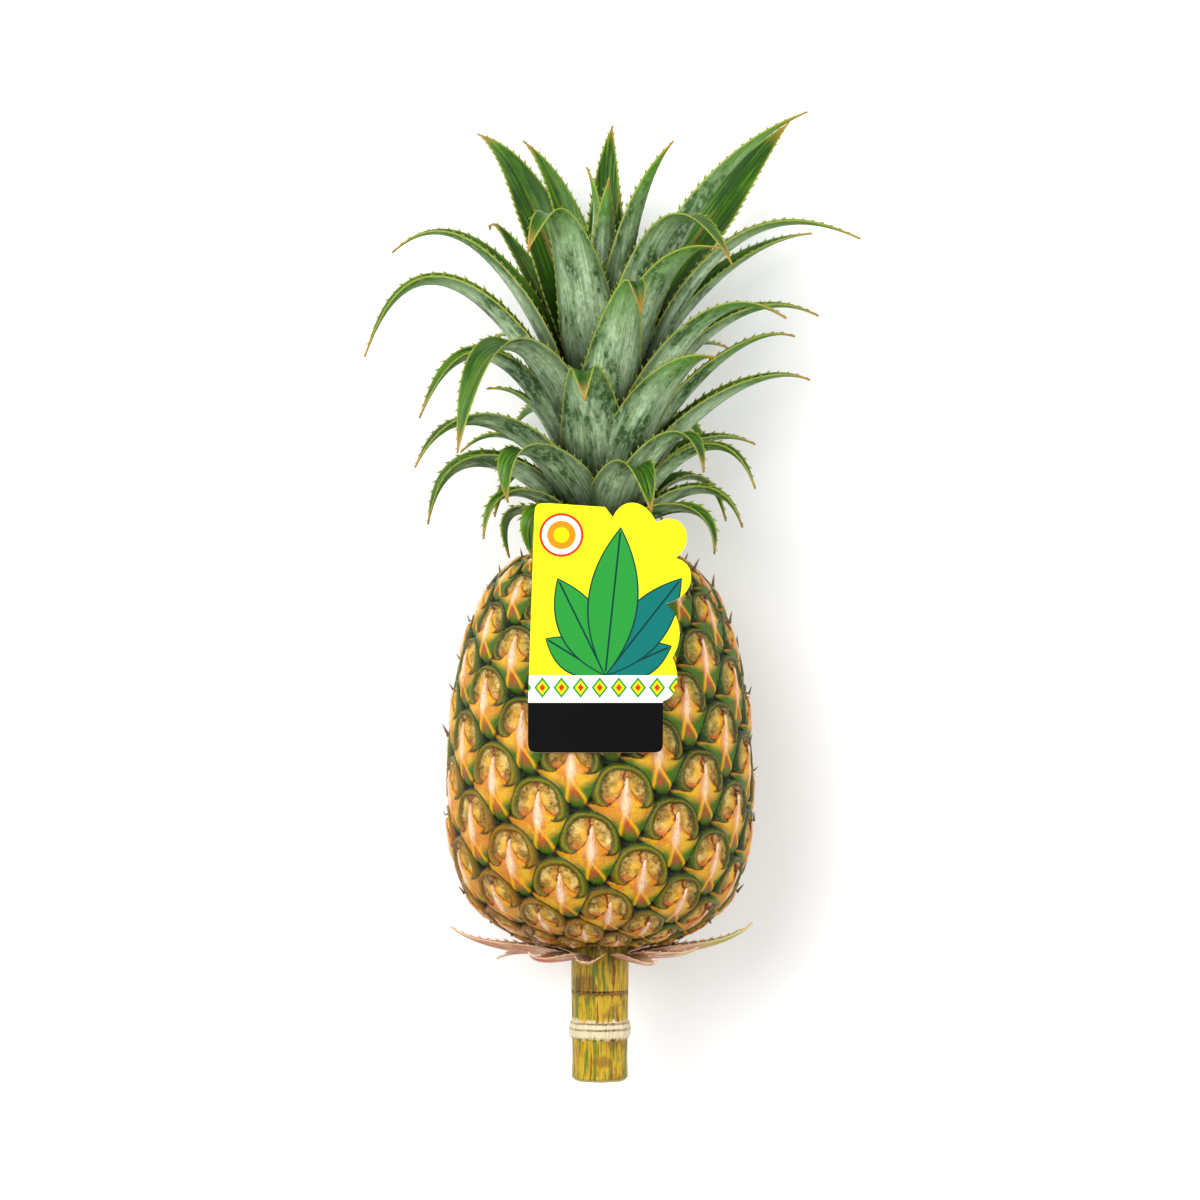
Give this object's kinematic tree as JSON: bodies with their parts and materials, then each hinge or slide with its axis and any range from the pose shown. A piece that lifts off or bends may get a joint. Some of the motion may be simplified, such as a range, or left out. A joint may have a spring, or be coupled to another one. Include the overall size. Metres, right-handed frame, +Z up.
{
  "type": "pineapple",
  "caption": "Whole pineapple with its crown and cut stem, lying on its side, with a plain printed card on the fruit.",
  "frame": {"origin": "on the surface that the part lies on, at the middle of the flattened eye under the fruit", "axes": "+Y along the fruit from the cut stem to the crown, +Z up from the surface, the card faces +Z"},
  "size_m": [0.1988, 0.3886, 0.1214],
  "materials": {
    "fruit_skin": "waxy eyes with olive rims, amber hearts and dry yellow and orange bracts",
    "stem_skin": "ribbed green and yellow stalk with brown streaks and a pale ragged cut",
    "bract_paper": "papery, pink to tan, dry at the edges",
    "crown_stem": "pale green, matt",
    "leaf_green": "satin green inside, grey-green with a waxy bloom outside, yellow spines",
    "card_print": "smooth coated card, yellow with a black band"
  },
  "bodies": {
    "root": {"fruit": "fruit_skin", "stem": "stem_skin", "basal_bracts": "bract_paper", "crown_stem": "crown_stem", "label_card": "card_print", "leaf_01": "leaf_green", "leaf_02": "leaf_green", "leaf_03": "leaf_green", "leaf_04": "leaf_green", "leaf_05": "leaf_green", "leaf_06": "leaf_green", "leaf_07": "leaf_green", "leaf_08": "leaf_green", "leaf_09": "leaf_green", "leaf_10": "leaf_green", "leaf_11": "leaf_green", "leaf_12": "leaf_green", "leaf_13": "leaf_green", "leaf_14": "leaf_green", "leaf_15": "leaf_green", "leaf_16": "leaf_green", "leaf_17": "leaf_green", "leaf_18": "leaf_green", "leaf_19": "leaf_green", "leaf_20": "leaf_green", "leaf_21": "leaf_green", "leaf_22": "leaf_green", "leaf_23": "leaf_green", "leaf_24": "leaf_green", "leaf_25": "leaf_green", "leaf_26": "leaf_green", "leaf_27": "leaf_green", "leaf_28": "leaf_green", "leaf_29": "leaf_green", "leaf_30": "leaf_green", "leaf_31": "leaf_green", "leaf_32": "leaf_green", "leaf_33": "leaf_green", "leaf_34": "leaf_green", "leaf_35": "leaf_green", "leaf_36": "leaf_green", "leaf_37": "leaf_green", "leaf_38": "leaf_green", "leaf_39": "leaf_green", "leaf_40": "leaf_green", "leaf_41": "leaf_green", "leaf_42": "leaf_green", "leaf_43": "leaf_green", "leaf_44": "leaf_green", "leaf_45": "leaf_green", "leaf_46": "leaf_green", "leaf_47": "leaf_green", "leaf_48": "leaf_green", "leaf_49": "leaf_green", "leaf_50": "leaf_green", "leaf_51": "leaf_green", "leaf_52": "leaf_green"}
  },
  "joints": []
}
